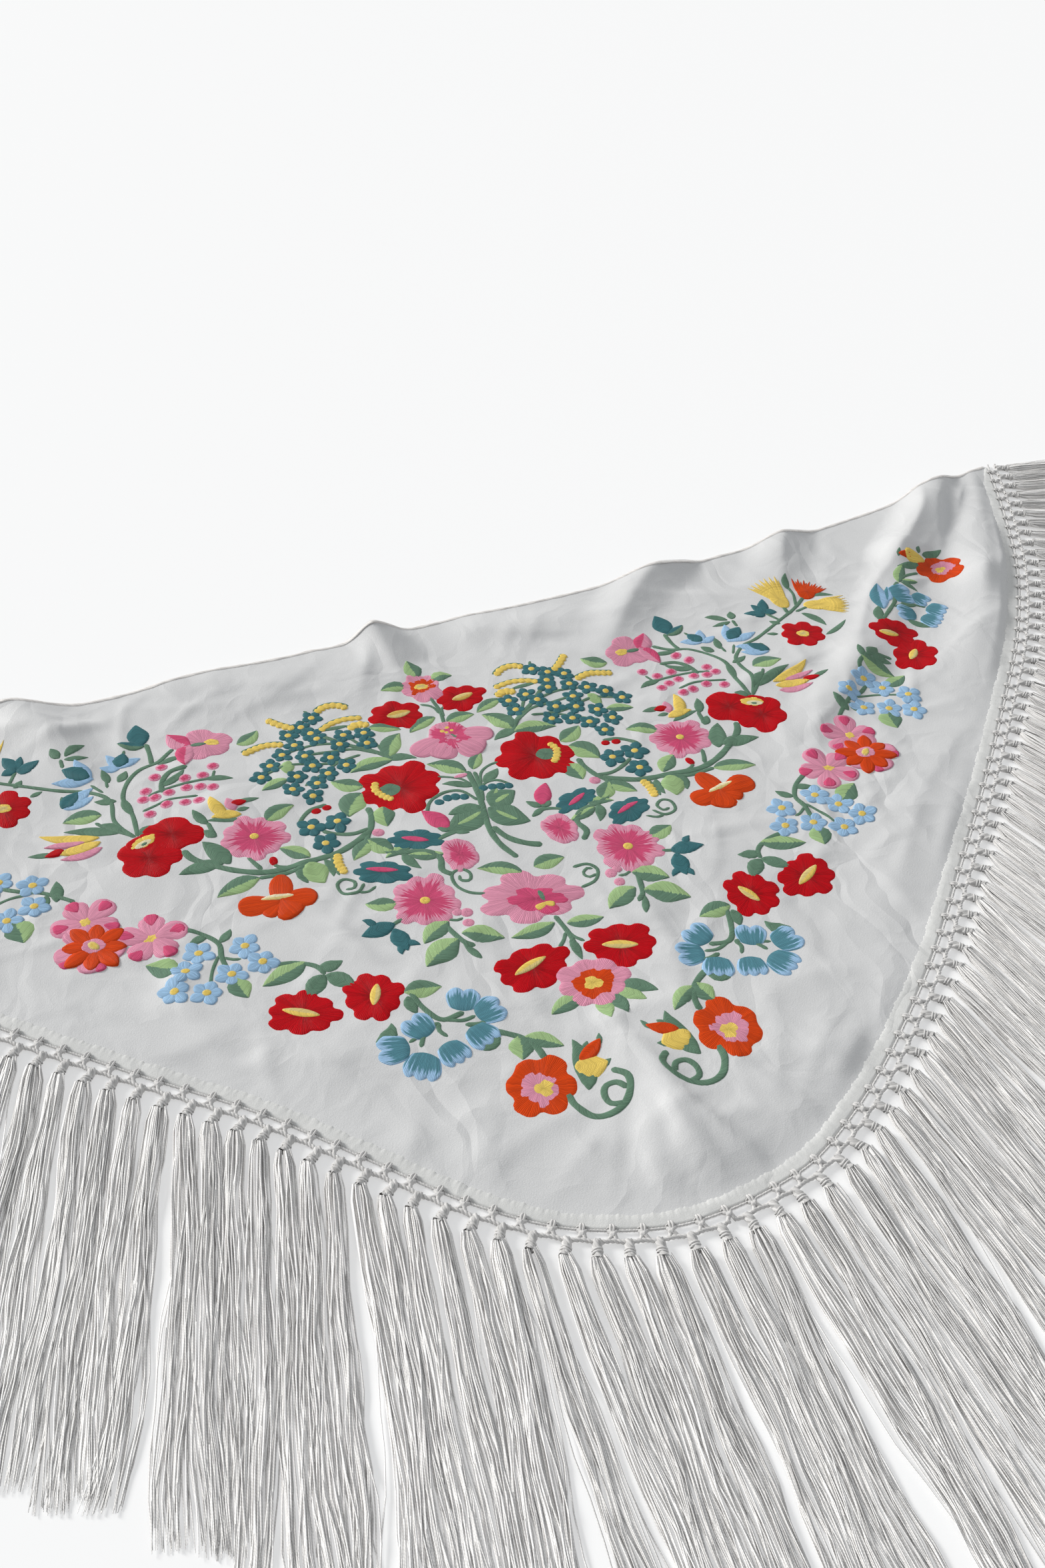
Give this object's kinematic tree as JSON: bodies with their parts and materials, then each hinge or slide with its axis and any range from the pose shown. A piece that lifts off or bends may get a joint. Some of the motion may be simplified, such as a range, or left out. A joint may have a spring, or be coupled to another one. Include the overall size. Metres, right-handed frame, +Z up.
{
  "type": "triangular flamenco shawl",
  "caption": "Triangular crepe shawl with a rounded point, laid flat, embroidered with mirrored flower sprays and edged on both legs with a long knotted fringe.",
  "frame": {"origin": "on the cloth's underside, where it lies on the surface, on the axis through the rounded point, 251 mm from the point's hem", "axes": "+X along the long straight edge towards the right corner, +Y from the rounded point towards the long edge, +Z up out of the face of the cloth"},
  "size_m": [1.542, 0.8002, 0.0127],
  "materials": {
    "crepe": "matt ivory crepe",
    "hem": "matt ivory crepe, turned and stitched with ivory thread",
    "fringe_yarn": "silky pearl-grey rayon yarn",
    "embroidery": "satin-stitched silky thread in reds, pinks, oranges, yellows, blues and greens"
  },
  "bodies": {
    "root": {"cloth_panel": "crepe", "leg_hem": "hem", "rolled_hem": "hem", "fringe_left": "fringe_yarn", "fringe_right": "fringe_yarn"}
  },
  "joints": []
}
